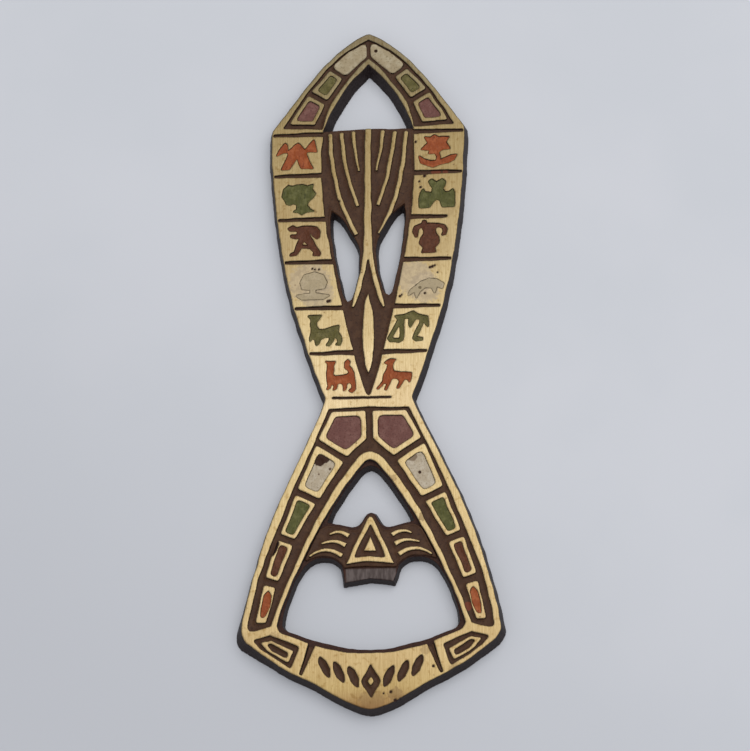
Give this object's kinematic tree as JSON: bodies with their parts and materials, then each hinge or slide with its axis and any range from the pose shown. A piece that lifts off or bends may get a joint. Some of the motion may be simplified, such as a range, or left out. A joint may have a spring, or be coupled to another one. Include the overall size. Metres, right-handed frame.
{
  "type": "bottle opener",
  "caption": "Flat cast brass souvenir bottle opener with a pointed windowed handle, enamel-filled cells and pictograms, and a loop with a hooked lip for crown caps.",
  "frame": {"origin": "middle of the footprint, on the opener's flat back", "axes": "+Y along the opener towards the pointed end of its handle, +Z out of its decorated face, +X to the right as seen from the front"},
  "size_m": [0.0542, 0.1507, 0.0035],
  "materials": {
    "brass": "brushed flat face, dark patina in the lows and on the sides",
    "lacquer": "semi-gloss, slightly worn",
    "enamel_cream": "semi-gloss, slightly worn",
    "enamel_olive": "semi-gloss, slightly worn",
    "enamel_maroon": "semi-gloss, slightly worn",
    "enamel_green": "semi-gloss, slightly worn",
    "enamel_brown": "semi-gloss, slightly worn",
    "enamel_orange": "semi-gloss, slightly worn"
  },
  "bodies": {
    "root": {"brass_casting": "brass", "enamel_arch_cream_right": "enamel_cream", "enamel_arch_olive_right": "enamel_olive", "enamel_arch_maroon_right": "enamel_maroon", "enamel_loop_maroon_right": "enamel_maroon", "enamel_loop_cream_right": "enamel_cream", "enamel_loop_green_right": "enamel_green", "enamel_loop_brown_right": "enamel_brown", "enamel_loop_orange_right": "enamel_orange", "enamel_arch_cream_left": "enamel_cream", "enamel_arch_olive_left": "enamel_olive", "enamel_arch_maroon_left": "enamel_maroon", "enamel_loop_maroon_left": "enamel_maroon", "enamel_loop_cream_left": "enamel_cream", "enamel_loop_green_left": "enamel_green", "enamel_loop_brown_left": "enamel_brown", "enamel_loop_orange_left": "enamel_orange", "enamel_tents": "enamel_orange", "enamel_tree": "enamel_green", "enamel_carrier": "enamel_brown", "enamel_boat": "enamel_cream", "enamel_llama": "enamel_olive", "enamel_fox": "enamel_orange", "enamel_flower": "enamel_orange", "enamel_gate": "enamel_green", "enamel_jug": "enamel_brown", "enamel_hare": "enamel_cream", "enamel_scales": "enamel_olive", "enamel_deer": "enamel_orange", "lacquer_arch_channel": "lacquer", "lacquer_loop_channel": "lacquer", "lacquer_fan_field": "lacquer", "lacquer_bridge": "lacquer", "lacquer_bridge_triangle": "lacquer", "lacquer_waist_groove": "lacquer", "lacquer_lozenge": "lacquer", "lacquer_eye_right": "lacquer", "lacquer_slot_right": "lacquer", "lacquer_bar_divider_right": "lacquer", "lacquer_leaf_right_1": "lacquer", "lacquer_leaf_right_2": "lacquer", "lacquer_leaf_right_3": "lacquer", "lacquer_eye_left": "lacquer", "lacquer_slot_left": "lacquer", "lacquer_bar_divider_left": "lacquer", "lacquer_leaf_left_1": "lacquer", "lacquer_leaf_left_2": "lacquer", "lacquer_leaf_left_3": "lacquer"}
  },
  "joints": []
}
